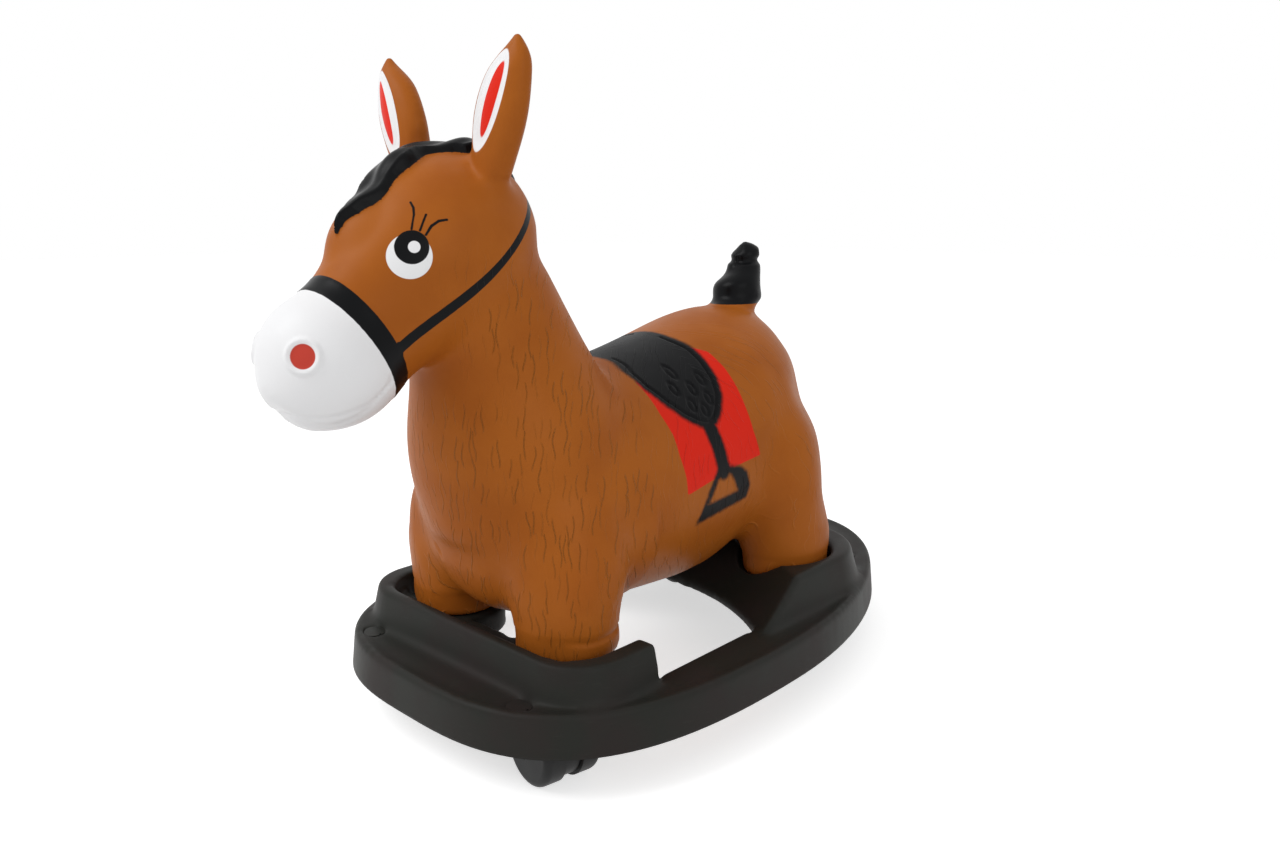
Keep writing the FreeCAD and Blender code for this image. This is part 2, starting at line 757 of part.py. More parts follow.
def horse_skin(outer, seat):
    """Hollow skin with an inward neck under the belly for the air valve."""
    inner = lofted([inset(rows) for rows in horse_parts()])
    y, depth, clearance = number("valve_place"), number("valve_depth"), number("running_clearance")
    neck = pillar(0, y, number("valve_neck"), seat, seat + depth)
    spot_face = pillar(0, y, number("valve_head") + 1, seat - number("skin"), seat)
    bore = pillar(0, y, number("valve_radius") + clearance, seat - 1, seat + depth + 1)
    return outer.cut(inner).fuse(neck).cut([spot_face, bore])


def valve_plug():
    """Push-in air plug, from the outer face of its head at 0 upwards."""
    return turned("valve_plug", [
        ("0", "0"),
        ("valve_head", "0"),
        ("valve_head", "valve_head_height"),
        ("valve_radius", "valve_head_height"),
        ("valve_radius", "valve_head_height + valve_depth"),
        ("0", "valve_head_height + valve_depth"),
    ])


def cover_disc(label):
    """Flush disc on the ring's top, with a pull notch and a spigot below."""
    disc = primitive(
        "Part::Cylinder", label + "_disc", {"Radius": "disc_radius", "Height": "disc_thickness"},
        ("0", "0", f"{PLATE_TOP} - disc_thickness"))
    spigot = primitive(
        "Part::Cylinder", label + "_spigot",
        {"Radius": "disc_spigot", "Height": "wall - disc_thickness / 2"},
        ("0", "0", PLATE_BOTTOM))
    notch = primitive(
        "Part::Box", label + "_notch",
        {"Length": "2 * disc_notch", "Width": "disc_notch", "Height": "disc_thickness"},
        ("disc_radius - disc_notch", "0 - disc_notch / 2", f"{PLATE_TOP} - disc_thickness / 2"))
    return boolean("Part::Cut", label, joined(label + "_solid", [disc, spigot]), notch)


# ---------------------------------------------------------------------- assembly

def feature(label, shape):
    """A free-form sub-part as an object of the document."""
    item = doc.addObject("Part::Feature", label)
    item.Shape = shape
    return item


def build():
    """Make every sub-part; each one's Label is its node's name."""
    pieces = [feature("base_tray", tray())]
    for corner, (side, end) in CORNERS.items():
        pieces += caster(corner, side, end)
        disc = cover_disc("cover_disc_" + corner)
        disc.Placement = Placement(
            Vector(side * number("disc_spread"), end * number("disc_reach"), 0), Rotation())
        pieces.append(disc)
    feet = number(f"{SHELF_TOP} + foot_clearance")
    outer = lofted(horse_parts())
    seat = belly_height(outer) + number("skin") / 4
    horse = feature("horse_skin", horse_skin(outer, seat))
    horse.Placement = Placement(Vector(0, 0, feet), Rotation())
    plug = valve_plug()
    plug.Placement = Placement(
        Vector(0, number("valve_place"), feet + seat - number("valve_head_height") - 0.1), Rotation())
    return pieces + [horse, plug]


def export(pieces):
    """Check every object and each sub-part's solid, then write the STEP files."""
    doc.recompute()
    for item in doc.Objects:
        if "Invalid" in item.State or "Error" in item.State:
            raise RuntimeError(f"{item.Label} did not build: {item.State}")
    for piece in pieces:
        if piece.Shape.isNull() or not piece.Shape.isValid() or len(piece.Shape.Solids) != 1:
            raise RuntimeError(f"{piece.Label} is not one valid solid")
    os.makedirs("parts", exist_ok=True)
    for piece in pieces:
        piece.Shape.exportStep(f"parts/{piece.Label}.step")


export(build())
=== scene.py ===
"""Hopping horse on a caster base: the looks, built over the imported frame.

Metres, +Z up, +X to the horse's left, and the horse faces -Y.
"""
import math

import bmesh
import bpy
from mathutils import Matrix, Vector
from mathutils.bvhtree import BVHTree


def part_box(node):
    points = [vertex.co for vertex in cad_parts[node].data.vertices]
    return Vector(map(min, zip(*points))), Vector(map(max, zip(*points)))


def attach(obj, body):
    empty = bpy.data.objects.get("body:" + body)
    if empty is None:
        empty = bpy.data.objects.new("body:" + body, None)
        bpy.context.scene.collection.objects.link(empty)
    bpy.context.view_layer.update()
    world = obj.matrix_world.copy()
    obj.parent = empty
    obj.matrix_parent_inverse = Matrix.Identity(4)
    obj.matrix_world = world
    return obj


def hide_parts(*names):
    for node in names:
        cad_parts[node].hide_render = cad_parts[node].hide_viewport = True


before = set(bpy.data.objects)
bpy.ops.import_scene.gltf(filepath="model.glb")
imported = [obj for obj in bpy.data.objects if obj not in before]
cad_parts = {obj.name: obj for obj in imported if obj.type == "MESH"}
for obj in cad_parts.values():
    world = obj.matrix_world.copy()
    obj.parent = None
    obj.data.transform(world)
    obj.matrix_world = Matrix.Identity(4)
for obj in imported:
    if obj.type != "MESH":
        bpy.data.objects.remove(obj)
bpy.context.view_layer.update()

bl_info = {
    "name": "Hopping Horse",
    "version": (1, 0, 0),
    "blender": (4, 5, 0),
    "location": "View3D > Sidebar > Horse",
    "description": "A soft hopping horse standing in a ring base on swivel casters",
    "category": "Object",
}

CORNERS = ("front_left", "front_right", "rear_left", "rear_right")
MM = 0.001


# ------------------------------------------------------------------------ settings

def colour(name, description, default):
    """Colour property, given in the linear values that the shaders use."""
    return bpy.props.FloatVectorProperty(
        name=name, description=description, default=default, subtype="COLOR", min=0.0, max=1.0)


def length(name, description, default):
    """Length property in metres."""
    return bpy.props.FloatProperty(
        name=name, description=description, default=default, unit="LENGTH", min=0.0, precision=4)


class HorseSettings(bpy.types.PropertyGroup):
    """Sizes and colours of the horse."""
    coat: colour("Coat", "Brown of the moulded vinyl", (0.40, 0.112, 0.0125))
    coat_shade: colour("Coat shade", "Deeper brown in the coat's patches", (0.355, 0.094, 0.0100))
    # Painted highlight: paler brown on the moulded hair lines, standing in for light catching their ridges.
    hair_highlight_paint: colour("Hair highlight paint", "Paler brown in the hair lines", (0.56, 0.200, 0.040))
    black: colour("Black", "Paint of the mane, tail, bridle and saddle", (0.0035, 0.0038, 0.0045))
    white: colour("White", "Paint of the muzzle, eyes and ears", (0.88, 0.88, 0.89))
    red: colour("Red", "Paint of the blanket and the ears", (0.76, 0.020, 0.0065))
    nostril: colour("Nostril", "Paint of the nostrils", (0.56, 0.060, 0.040))
    fineness: length("Fineness", "Spacing of the skin's mesh", 0.0032)
    mane_height: length("Mane height", "How far the mane stands out", 0.0085)
    eye_radius: length("Eye radius", "Radius of the white of an eye", 0.0182)
    iris_radius: length("Iris radius", "Radius of an eye's black disc", 0.0138)
    glint_radius: length("Glint radius", "Radius of an eye's white spot", 0.0049)
    lash_width: length("Lash width", "Width of an eyelash", 0.0024)
    nostril_radius: length("Nostril radius", "Radius of a nostril's red disc", 0.0097)
    hair_depth: length("Hair depth", "Height of the moulded hair lines", 0.0013)


class BaseSettings(bpy.types.PropertyGroup):
    """Sizes and colours of the ring base and its casters."""
    plastic: colour("Plastic", "Near-black olive of the moulded ring", (0.0175, 0.0182, 0.0152))
    plastic_tint: colour("Plastic tint", "Brownish cast of the ring's flat areas", (0.0225, 0.0180, 0.0165))
    wheel: colour("Wheel", "Dark grey of the wheels and hoods", (0.027, 0.027, 0.027))
    trim: colour("Trim", "Near-black of the hub caps", (0.022, 0.022, 0.020))
    sleeve: colour("Sleeve", "Off-white of the stem sleeves", (0.62, 0.61, 0.57))
    steel: colour("Steel", "Zinc-plated steel of stems and axles", (0.52, 0.52, 0.51))
    fineness: length("Fineness", "Spacing of the ring's mesh", 0.0022)
    share_kept: bpy.props.FloatProperty(
        name="Share kept", description="Share of the ring's triangles that is kept", default=0.54,
        min=0.1, max=1.0)
    grain_depth: length("Grain depth", "Depth of the plastic's fine grain", 0.00006)


class StageSettings(bpy.types.PropertyGroup):
    """Floor, lamps and camera."""
    floor: colour("Floor", "Colour of the plain floor", (0.80, 0.80, 0.80))
    floor_glow: bpy.props.FloatProperty(
        name="Floor glow", default=0.62,
        description="Light that the floor gives the eye, which keeps it white")
    key: bpy.props.FloatProperty(
        name="Key", description="Power of the main lamp", default=34.0, unit="POWER")
    fill: bpy.props.FloatProperty(
        name="Fill", description="Power of the fill lamp", default=9.0, unit="POWER")
    sky: bpy.props.FloatProperty(
        name="Sky", description="Brightness of the plain surroundings", default=0.60)


# -------------------------------------------------------------------- mesh helpers

def new_piece(name, mesh, body, nodes=()):
    """Put a finished mesh in the scene as a piece that rides on a body."""
    piece = bpy.data.objects.new(name, mesh)
    bpy.context.scene.collection.objects.link(piece)
    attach(piece, body)
    if nodes:
        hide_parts(*nodes)
    return piece


def merged_copy(node):
    """A CAD node's mesh with its triangles joined up."""
    bm = bmesh.new()
    bm.from_mesh(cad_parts[node].data)
    bmesh.ops.remove_doubles(bm, verts=bm.verts, dist=0.01 * MM)
    return bm


def islands(bm):
    """The connected groups of faces, largest first."""
    left, groups = set(bm.faces), []
    while left:
        group, edge = set(), [left.pop()]
        while edge:
            face = edge.pop()
            group.add(face)
            for side in face.edges:
                for near in side.link_faces:
                    if near in left:
                        left.discard(near)
                        edge.append(near)
        groups.append(group)
    return sorted(groups, key=lambda group: -sum(face.calc_area() for face in group))


def remeshed(bm, spacing):
    """The same solid as an even mesh of small quads."""
    rough = bpy.data.meshes.new("rough")
    bm.to_mesh(rough)
    bm.free()
    holder = bpy.data.objects.new("rough", rough)
    bpy.context.scene.collection.objects.link(holder)
    voxels = holder.modifiers.new("even", "REMESH")
    voxels.mode = "VOXEL"
    voxels.voxel_size = spacing
    settled = holder.evaluated_get(bpy.context.evaluated_depsgraph_get())
    even = bmesh.new()
    even.from_mesh(settled.to_mesh())
    settled.to_mesh_clear()
    bpy.data.objects.remove(holder)
    bpy.data.meshes.remove(rough)
    return even


def relax(bm, verts, passes):
    """Smooth some vertices a number of times."""
    for _ in range(passes):
        bmesh.ops.smooth_vert(
            bm, verts=verts, factor=0.5, use_axis_x=True, use_axis_y=True, use_axis_z=True)


def stand_out(bm, height):
    """Move each vertex along its normal by the height there."""
    moves = [(vert, vert.normal * height(vert)) for vert in bm.verts]
    for vert, move in moves:
        vert.co += move


def grown(verts, rings):
    """The vertices and everything within some rings of them."""
    kept = set(verts)
    border = set(verts)
    for _ in range(rings):
        border = {edge.other_vert(vert) for vert in border for edge in vert.link_edges} - kept
        kept |= border
    return list(kept)


def hollows(bm, angle):
    """Vertices along edges that fold inwards by more than an angle."""
    limit = -math.radians(angle)
    return [
        vert for edge in bm.edges if edge.is_manifold and edge.calc_face_angle_signed() < limit
        for vert in edge.verts]


def refine(bm, wanted):
    """Halve the mesh's spacing on the faces whose centres are wanted."""
    edges = {edge for face in bm.faces if wanted(face.calc_center_median()) for edge in face.edges}
    bmesh.ops.subdivide_edges(bm, edges=list(edges), cuts=1, use_grid_fill=True, smooth=0.0)


def finished(bm, name):
    """The faces turned outwards and shaded smooth, as a mesh."""
    bmesh.ops.recalc_face_normals(bm, faces=bm.faces)
    for face in bm.faces:
        face.smooth = True
    mesh = bpy.data.meshes.new(name)
    bm.to_mesh(mesh)
    bm.free()
    return mesh


# ------------------------------------------------------------- distances for paint

def ramp(value, low, high):
    """0 below low, 1 above high and smooth between."""
    share = min(1.0, max(0.0, (value - low) / (high - low)))
    return share * share * (3 - 2 * share)


def to_line(point, points):
    """Distance from a point to a line through several points."""
    best = 1.0
    for start, end in zip(points, points[1:]):
        run = end - start
        share = min(1.0, max(0.0, (point - start).dot(run) / run.length_squared))
        best = min(best, (point - start - run * share).length)
    return best


def to_outline(point, corners):
    """Signed distance from a point to a closed outline, negative inside it."""
    inside = False
    for start, end in zip(corners, corners[1:] + corners[:1]):
        if (start.y > point.y) != (end.y > point.y):
            crossing = start.x + (point.y - start.y) / (end.y - start.y) * (end.x - start.x)
            inside ^= point.x < crossing
    gap = to_line(point, corners + corners[:1])
    return -gap if inside else gap


def at(*places):
    """Points in metres from millimetres."""
    return [Vector(place) * MM for place in places]


# ------------------------------------------------------------- places on the horse

# Left eye's white, black disc and white spot, and the left nostril.
EYE, IRIS, GLINT, NOSTRIL = at(
    (54.3, -316.4, 468.2), (54.2, -313.7, 475.2), (55.4, -312.1, 475.2), (36.3, -403.7, 395.0))
# Left eyelashes, each a line from its tip to its root.
LASHES = [
    at((40.4, -303.3, 509.8), (44.5, -303.6, 505.5), (47.4, -305.4, 500.0), (50.4, -310.3, 488.9)),
    at((53.8, -298.4, 500.1), (55.1, -305.7, 487.9)),
    at((64.3, -286.1, 496.2), (61.6, -292.0, 495.3), (59.9, -298.0, 491.5), (58.8, -302.8, 484.5)),
]
FOREHEAD, = at((-12, -328, 492))
# Fold in front of the right foreleg.
CREASE = at((-60, -262, 222), (-44, -250, 196), (-30, -236, 176))
# Outlines on the flank, each corner along Y and Z.
SADDLE = at(
    (-58, 420), (-60, 354), (-66, 347), (-65, 331), (-54, 315), (-38, 300), (-22, 291), (-8, 287),
    (3, 290), (13, 298), (25, 314), (31, 331), (33, 349), (33, 363), (28, 371), (22, 420))
BLANKET = at(
    (-66, 336), (-66, 308), (-62, 289), (-62, 270), (-58, 248), (-57, 230), (-16, 238), (0, 241),
    (13, 244), (62, 250), (54, 277), (51, 301), (49.5, 324), (48, 341), (44, 357), (20, 366), (-50, 350))
STRAP = at((-9, 292), (-4, 270), (1, 244))
STIRRUP_OUTER = at(
    (-9, 246), (-22, 227), (-38, 195), (-6, 200), (24, 204), (43, 207), (46, 220), (39, 235),
    (29, 243), (9, 247))
STIRRUP_INNER = at(
    (-9, 236), (-2, 241), (6, 242), (14, 238), (20, 230), (27, 217), (0, 214), (-24, 212))
STUDS = at((-6, 306), (6, 316), (-20, 312), (-8, 326), (10, 334), (-30, 328), (-18, 342))
# Mane's edges down the head: along Y, left edge and right edge.
MANE = (
    (-342, -1, -3), (-334, 3, -5), (-328, 11, -6), (-320, 15, -10), (-308, 16, -18), (-295, 16, -25),
    (-279, 13, -27), (-262, 12, -24), (-250, 15, -22), (-241, 20, -24), (-235, 29, -29), (-222, 30, -30),
    (-200, 25, -25), (-180, 20, -20), (-150, 10, -10))
# Lines of the mouth under the muzzle: middle along Y, level there, and how they curve.
MOUTH = ((-0.390, 0.3440, 8.0), (-0.382, 0.3360, 18.0))
# Ovals on an ear's front: the way they lean, then each one's middle across and up, and half sizes.
EAR_LEAN = Vector((0.400, 0.9165))
EAR_WHITE = (Vector((0.0700, 0.5920)), 0.0165, 0.0440)
EAR_RED = (Vector((0.0730, 0.5925)), 0.0072, 0.0325)
# An ear's foot, its inner side, how much further out the right one's ovals lie, where it slims, its tip.
EAR_LOW, EAR_INNER, EAR_SHIFT = 0.545, 0.045, 0.009
EAR_SLIM, EAR_TIP = 0.60, Vector((0.091, -0.230))
# Nose band's run along the head and half width, the mouth's run, and the end of the head's front.
BAND_RUN, BAND_HALF, MOUTH_RUN = -0.0823, 0.0086, -0.092
HEAD_FRONT = -0.27
# How far the part that carries the saddle reaches to the front and rear.
BACK_REACH = 0.1
# Left foreleg's middle, and the way it widens at the collar.
FORELEG, OUTWARD = Vector((0.080, -0.186)), Vector((0.75, 0.66))
# Height below which the feet are left out of all but the first smoothing.
FEET_TOP = 0.125
# Foot of the tail, and the front of it.
TAIL_LOW, TAIL_FRONT = 0.392, 0.140
# Painted shapes, and a distance that counts as outside all of them.
PAINTS = ("blanket", "saddle", "white_paint", "black_paint", "red_paint", "nostril", "glint")
FAR = 0.05


def side(point):
    """The same place on the horse's left side."""
    return Vector((abs(point.x), point.y, point.z))


def flank(point):
    """A point of the flank as along Y and Z."""
    return Vector((point.y, point.z))


def head_run(point):
    """Distance along the head, back and up from the muzzle."""
    return 0.853 * point.y + 0.522 * point.z


def bridle_rise(point):
    """Height above the cheek strap's middle line."""
    return -0.637 * point.y + 0.771 * point.z - 0.510 - 1.0 * (point.y + 0.270) ** 2


def tail_run(point):
    """Distance along the tail above the rump, or less than zero off it."""
    return point.z - TAIL_LOW if point.y > TAIL_FRONT and point.z > TAIL_LOW else -1.0


def mane_gap(point):
    """Signed distance from the mane's edge, negative inside it, from the forelock down the nape."""
    place = point.y / MM
    if point.z < 0.430 or not MANE[0][0] < place < MANE[-1][0]:
        return FAR
    for (start, left, right), (end, next_left, next_right) in zip(MANE, MANE[1:]):
        if place <= end:
            share = (place - start) / (end - start)
            left += (next_left - left) * share
            right += (next_right - right) * share
            break
    half = (left - right) / 2
    wave = 1.8 * math.sin(place * 0.20 + (1.2 if point.x > 0 else 0.0)) * min(1.0, half / 12)
    taper = 40.0 * ramp(0.512 - point.z, 0.0, 0.030) if point.y > -0.23 else 0.0
    return (abs(point.x / MM - (left + right) / 2) - half - wave + taper) * MM


def ear_oval(point, middle, wide, high):
    """Signed distance from the edge of a leaning oval on an ear's front."""
    shift = EAR_SHIFT if point.x < 0 else 0.0
    offset = Vector((abs(point.x) - shift, point.z)) - middle
    return (math.hypot(offset.cross(EAR_LEAN) / wide, offset.dot(EAR_LEAN) / high) - 1) * wide


def on_ear_front(vert):
    """Whether a vertex is on the forward face of an ear."""
    return vert.co.z > EAR_LOW and abs(vert.co.x) > EAR_INNER and vert.normal.y < 0.1


def near_lash(point):
    """Distance from a place to the nearest eyelash."""
    return min(to_line(side(point), lash) for lash in LASHES)


def on_back(point, low):
    """Whether a place is on the back or flanks where the saddle lies."""
    return abs(point.y) < BACK_REACH and low < point.z


# ------------------------------------------------------------------- horse's shape

def horse_shell():
    """Outer wall of the horse, closed where the air valve passes through it."""
    bm = merged_copy("horse_skin")
    low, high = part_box("valve_plug")
    middle = (low + high) / 2
    around = [
        face for face in bm.faces
        if (face.calc_center_median() - middle).xy.length < 0.012
        and face.calc_center_median().z < high.z + 0.003]
    bmesh.ops.delete(bm, geom=around, context="FACES")
    for group in islands(bm)[1:]:
        bmesh.ops.delete(bm, geom=list(group), context="FACES")
    rim = [edge for edge in bm.edges if edge.is_boundary]
    bmesh.ops.holes_fill(bm, edges=rim, sides=0)
    bmesh.ops.recalc_face_normals(bm, faces=bm.faces)
    return bm


def detailed(point):
    """Whether a place has fine paint or relief."""
    here = side(point)
    if (here - EYE).length < 0.024 or (here - NOSTRIL).length < 0.018 or near_lash(point) < 0.006:
        return True
    if here.x > 0.02 and on_back(point, 0.28) and to_outline(flank(point), SADDLE) < 0.003:
        return True
    return (here.z > EAR_LOW and here.x > 0.04) or mane_gap(point) < 0.004 or tail_run(point) > 0.0


def ridge(distance, half_width, height):
    """Height of a rounded ridge at a distance from its middle."""
    return height * ramp(half_width - distance, 0.0, half_width)


def mane_relief(point, height):
    """Locks and lumps of the mane."""
    gap = mane_gap(point)
    if gap >= 0.0:
        return 0.0
    lumps = math.sin(point.y * 84 + point.x * 60) + 0.6 * math.sin(point.y * 130 - point.x * 110 + 1.0)
    locks = math.sin(point.x * 330 + 2.0 * math.sin(point.y * 60))
    return ramp(-gap, -0.001, 0.0055) * (height + 0.0024 * lumps + 0.0009 * locks)


def tail_relief(point):
    """Twisted lumps of the tail, and a groove round it."""
    run = tail_run(point)
    if run <= 0.0:
        return 0.0
    twist = math.atan2(point.x, point.y - 0.180)
    lumps = 0.0014 * ramp(run, 0.004, 0.016) * math.sin(run * 170 + twist)
    return lumps - ridge(abs(run - 0.055), 0.0065, 0.0030)


def head_relief(point):
    """Round forehead, nose band, nostril rims and lines of the mouth."""
    out = 0.007 * ramp(0.042 - (point - FOREHEAD).length, 0.0, 0.030)
    if point.y < HEAD_FRONT and point.z < 0.47:
        run = head_run(point)
        out += 0.0006 * ramp(0.0088 - abs(run - BAND_RUN), 0.0, 0.0008)
        out += ridge(abs((side(point) - NOSTRIL).length - 0.0125), 0.0038, 0.0024)
        for middle, level, curve in MOUTH if run < MOUTH_RUN else ():
            out -= ridge(abs(point.z - level - curve * (point.y - middle) ** 2), 0.0026, 0.0012)
    return out


def saddle_relief(point):
    """Seam round the saddle, and its studs."""
    across = abs(point.x)
    if across < 0.02 or point.z > 0.40 or not on_back(point, 0.28):
        return 0.0
    place = flank(point)
    out = -ridge(abs(to_outline(place, SADDLE) + 0.0075), 0.0021, 0.0016)
    for stud in STUDS if across > 0.05 else ():
        offset = place - stud
        size = math.hypot(offset.x / 0.0042, offset.y / 0.0062)
        out -= 0.0014 * ramp(1.0 - abs(size - 0.9), 0.55, 1.0)
    return out


def foreleg_relief(vert):
    """Forelegs widened where they enter the collar, and the fold before the right one."""
    point = vert.co
    out = -ridge(to_line(point, CREASE), 0.006, 0.0022) if point.x < 0 else 0.0
    if point.z < 0.24 and point.y < -0.10:
        away = (Vector((abs(point.x), point.y)) - FORELEG).normalized().dot(OUTWARD)
        upright = 1.0 - abs(vert.normal.z)
        out += 0.014 * upright * ramp(0.235 - point.z, 0.0, 0.075) * ramp(away, -0.1, 0.7)
    return out


def rump_relief(point):
    """Rump and thighs, drawn in towards the rear and the flanks."""
    rise = ramp(point.z, 0.13, 0.20)
    thigh = ramp(0.36 - point.z, 0.0, 0.06) * ramp(point.y, 0.12, 0.19) * ramp(abs(point.x), 0.05, 0.10)
    rump = ramp(TAIL_LOW - point.z, 0.0, 0.04) * ramp(point.y, 0.13, 0.21)
    return -rise * (0.009 * thigh + 0.007 * rump)


def ear_relief(vert):
    """Shallow hollow in an ear's front."""
    return -0.0022 * ramp(-ear_oval(vert.co, *EAR_WHITE), -0.001, 0.004) if on_ear_front(vert) else 0.0


def relief(vert, settings):
    """How far the surface stands out at a vertex."""
    point = vert.co
    head = mane_relief(point, settings.mane_height) + head_relief(point) + ear_relief(vert)
    body = saddle_relief(point) + foreleg_relief(vert) + rump_relief(point) + tail_relief(point)
    return head + body


def slim_tip(point):
    """Draw the upper part of an ear in to a slim tip, a little lower."""
    narrow = 0.62 * min(1.0, max(0.0, (point.z - 0.612) / 0.032)) ** 2.6
    point.x += (math.copysign(EAR_TIP.x, point.x) - point.x) * narrow
    point.y += (EAR_TIP.y - point.y) * narrow
    point.z -= 0.004 * ramp(point.z, EAR_SLIM, 0.645)


def back_paint(point):
    """Distances from the painted shapes on the back and flanks."""
    place = flank(point)
    saddle = to_outline(place, SADDLE)
    if abs(point.x) <= 0.03:
        return {"saddle": saddle}
    stirrup = max(to_outline(place, STIRRUP_OUTER), -to_outline(place, STIRRUP_INNER)) - 0.0012
    strap = to_line(place, STRAP) - 0.0098
    return {"blanket": to_outline(place, BLANKET), "saddle": min(saddle, strap, stirrup)}


def head_paint(point, settings):
    """Distances from the painted shapes on the head."""
    here, run = side(point), head_run(point)
    from_band = run - BAND_RUN if point.y < HEAD_FRONT else FAR
    strap_half = 0.0036 + 0.0010 * ramp(0.470 - point.z, 0.0, 0.04)
    cheek = abs(bridle_rise(point)) - strap_half if run > -0.080 and point.z > 0.39 else FAR
    band = abs(from_band) - BAND_HALF
    lashes = near_lash(point) - settings.lash_width / 2
    iris = (here - IRIS).length - settings.iris_radius
    return {
        "black_paint": min(band, cheek, lashes, iris, mane_gap(point)),
        "white_paint": min((here - EYE).length - settings.eye_radius, from_band),
        "nostril": (here - NOSTRIL).length - settings.nostril_radius,
        "glint": (here - GLINT).length - settings.glint_radius}


def fur(point):
    """How clearly the moulded hair shows at a place."""
    if point.y >= -0.10:
        return 0.45 * ramp(0.400 - point.z, 0.0, 0.05)
    neck = ramp(head_run(point), -0.04, 0.02)
    chest = min(ramp(0.350 - point.z, 0.0, 0.03), ramp(point.y, -0.335, -0.325))
    return ramp(0.490 - point.z, 0.0, 0.07) * max(neck, chest)


def paint(bm, settings):
    """Write each vertex's distance from each painted shape, negative inside it, and its fur."""
    layers = {name: bm.verts.layers.float.new(name) for name in (*PAINTS, "fur")}
    for vert in bm.verts:
        point = vert.co
        marks = dict.fromkeys(PAINTS, FAR)
        if on_back(point, 0.17):
            marks.update(back_paint(point))
        if point.y < -0.15 and (point.z > 0.33 or point.y < -0.33):
            marks.update(head_paint(point, settings))
        if on_ear_front(vert):
            marks["white_paint"] = ear_oval(point, *EAR_WHITE)
            marks["red_paint"] = ear_oval(point, *EAR_RED)
        if tail_run(point) > 0:
            marks["black_paint"] = 0.005 - tail_run(point)
        marks["fur"] = fur(point)
        for name, mark in marks.items():
            vert[layers[name]] = mark


def soft_parts(verts):
    """The vertices apart from the feet's seats and the thin ears."""
    return [
        vert for vert in verts
        if vert.co.z > FEET_TOP and not (vert.co.z > 0.530 and abs(vert.co.x) > EAR_INNER)]


def rear_body(verts):
    """The vertices of the rump and the thighs."""
    return [vert for vert in verts if vert.co.y > 0.10 and 0.15 < vert.co.z < 0.385]


def build_horse(settings):
    """The soft horse as one moulded skin."""
    bm = remeshed(horse_shell(), settings.fineness)
    relax(bm, list(bm.verts), 1)
    relax(bm, soft_parts(grown(hollows(bm, 9), 7)), 34)
    relax(bm, rear_body(bm.verts), 90)
    relax(bm, soft_parts(bm.verts), 3)
    bm.normal_update()
    # Smoothing draws the skin in a little, so it is let out again.
    stand_out(bm, lambda vert: 0.7 * MM if vert.co.z > FEET_TOP else 0.0)
    refine(bm, detailed)
    relax(bm, [vert for vert in bm.verts if detailed(vert.co)], 2)
    refine(bm, lambda point: (side(point) - EYE).length < 0.021 or near_lash(point) < 0.004)
    bm.normal_update()
    # The paint is placed on the smooth skin, before its relief moves it.
    paint(bm, settings)
    stand_out(bm, lambda vert: relief(vert, settings))
    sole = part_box("horse_skin")[0].z
    for vert in bm.verts:
        vert.co.z = max(vert.co.z, sole)
        if vert.co.z > EAR_SLIM:
            slim_tip(vert.co)
    skin = new_piece("horse", finished(bm, "horse"), "horse", ["horse_skin"])
    skin.data.materials.append(horse_vinyl(settings))
    return skin


# -------------------------------------------------------------------- base's shape

def squared(bm, solid, floor):
    """Lay the lower walls back on the true ones, and give them a clean lower edge."""
    walls = solid.copy()
    walls.normal_update()
    flat = [face for face in walls.faces if abs(face.normal.z) > 0.5]
    bmesh.ops.delete(walls, geom=flat, context="FACES")
    surface, sides = BVHTree.FromBMesh(solid), BVHTree.FromBMesh(walls)
    for vert in bm.verts:
        if vert.co.z < floor + 1.6 * MM:
            place = sides.find_nearest(vert.co)[0]
            vert.co = (place.x, place.y, floor)
        elif vert.co.z < floor + 20 * MM:
            place = surface.find_nearest(vert.co)[0]
            vert.co = vert.co.lerp(place, ramp(floor + 20 * MM - vert.co.z, 0.0, 8 * MM))
    walls.free()
    # Laying faces flat leaves some with no area.
    bmesh.ops.dissolve_degenerate(bm, dist=0.1 * MM, edges=bm.edges)
    bmesh.ops.triangulate(bm, faces=bm.faces)


def build_tray(settings):
    """The moulded ring with every wall and corner softened."""
    solid = merged_copy("base_tray")
    bm = remeshed(solid.copy(), settings.fineness)
    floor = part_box("base_tray")[0].z
    edge_top = floor + 6 * MM
    relax(bm, [vert for vert in grown(hollows(bm, 14), 4) if vert.co.z > edge_top], 18)
    relax(bm, [vert for vert in bm.verts if vert.co.z > edge_top], 4)
    squared(bm, solid, floor)
    solid.free()
    tray = new_piece("ring_tray", finished(bm, "ring_tray"), "base", ["base_tray"])
    tray.data.materials.append(ring_plastic(settings))
    tray.modifiers.new("lighter", "DECIMATE").ratio = settings.share_kept
    return tray


# ----------------------------------------------------------------------- materials

